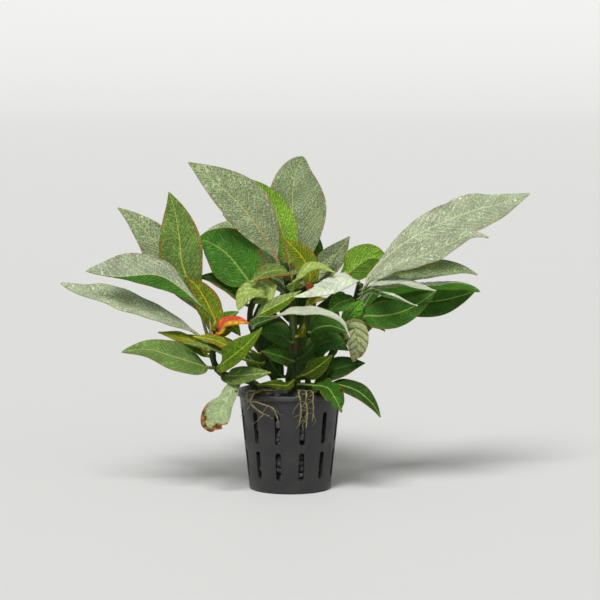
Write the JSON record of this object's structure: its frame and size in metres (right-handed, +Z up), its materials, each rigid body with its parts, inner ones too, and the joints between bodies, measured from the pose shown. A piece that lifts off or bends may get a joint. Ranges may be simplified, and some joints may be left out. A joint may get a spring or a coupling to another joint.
{
  "type": "potted giant hygrophila",
  "caption": "Bushy broad-leaved aquarium plant of several leafy shoots, standing in a small slotted round pot filled with black gravel.",
  "frame": {"origin": "centre of the pot's flat underside, on the surface that the pot stands on", "axes": "+Z up, +X to the right across the plant as seen from its front, -Y towards the front"},
  "size_m": [0.2324, 0.1107, 0.1659],
  "materials": {
    "pot": "dull black moulded plastic",
    "gravel": "black and dark grey rounded stones",
    "stem": "brownish green soft stem",
    "root": "pale tan root strands",
    "silver": "dull silvery green leaf with a net of fine veins",
    "green": "mature mid-green leaf",
    "lime": "bright yellow-green leaf underside",
    "deep": "dark shaded green leaf",
    "young": "young olive to orange leaf with a reddish edge",
    "pale": "whitish green leaf"
  },
  "bodies": {
    "root": {"pot": "pot", "gravel": "gravel", "stem_centre": "stem", "stem_left": "stem", "stem_right": "stem", "stem_inner_left": "stem", "stem_inner_right": "stem", "stem_back": "stem", "roots_front": "root", "roots_left": "root", "leaf_top_left": "silver", "leaf_top_lime": "lime", "leaf_top_round": "silver", "leaf_olive_back": "young", "leaf_behind_round": "green", "leaf_left_upright": "silver", "leaf_left_back": "silver", "leaf_left_fold": "pale", "leaf_left_long": "pale", "leaf_left_lower": "green", "leaf_young_red": "young", "leaf_yellow_left": "young", "leaf_pale_slim": "silver", "leaf_broad_left": "green", "leaf_low_left": "green", "leaf_damaged": "pale", "leaf_green_disc": "green", "leaf_back_pale": "silver", "leaf_under_disc": "deep", "leaf_arch_red": "silver", "leaf_round_pale": "lime", "leaf_diagonal": "silver", "leaf_long_arch": "pale", "leaf_under_arch": "green", "leaf_dark_inner": "deep", "leaf_inner_left": "deep", "leaf_right_arch": "silver", "leaf_low_right_light": "green", "leaf_low_right_dark": "deep", "leaf_low_right_hang": "green", "leaf_torn": "green", "leaf_old_spotted": "pale", "leaf_right_big": "pale", "leaf_right_under": "pale", "leaf_right_grey": "silver", "leaf_right_curl": "pale", "leaf_right_cream": "pale", "leaf_right_roll": "pale", "leaf_right_far_low": "green", "leaf_right_near_low": "green", "leaf_right_blade": "pale", "leaf_back_lime": "lime", "leaf_back_point": "silver", "leaf_rear_left": "silver", "leaf_rear_right": "deep", "leaf_rear_low": "deep", "leaf_rear_high_left": "silver", "leaf_rear_upright": "silver", "leaf_rear_mid_left": "deep", "leaf_rear_mid_right": "green"}
  },
  "joints": []
}
